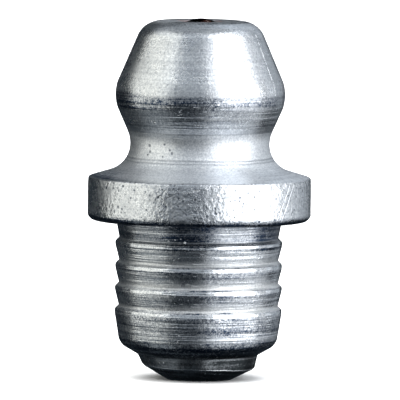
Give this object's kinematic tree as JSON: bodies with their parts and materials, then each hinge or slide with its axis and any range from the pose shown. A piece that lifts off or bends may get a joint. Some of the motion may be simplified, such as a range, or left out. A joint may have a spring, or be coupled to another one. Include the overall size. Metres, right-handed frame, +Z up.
{
  "type": "grease nipple",
  "caption": "Straight drive-in grease nipple: coned coupler head with ball check, waisted neck, round flange and barbed press-in shank with a crimped nose.",
  "frame": {"origin": "on the nipple's axis at the underside of the flange, the face that comes down on the machine", "axes": "+Z up the axis from the shank to the head; X and Y are square to it, and the turned body looks the same from all sides"},
  "size_m": [0.0086, 0.0086, 0.0139],
  "materials": {
    "body": "turned free-cutting steel, bright zinc plated, fine turning marks, small pits and light handling scratches",
    "ball": "ground and polished hardened steel, with a film of oil",
    "spring": "drawn spring wire, lightly oiled"
  },
  "bodies": {
    "body": {"nipple_body": "body", "valve_spring": "spring"},
    "ball": {"check_ball": "ball"}
  },
  "joints": [
    {"name": "ball_lift", "type": "slide", "parent": "body", "child": "ball", "axis": [0, 0, 1], "range_m": [-0.0008, 0], "stiffness_N_per_m": 1250, "springref_m": 0.0004, "deforming": ["valve_spring"]}
  ]
}
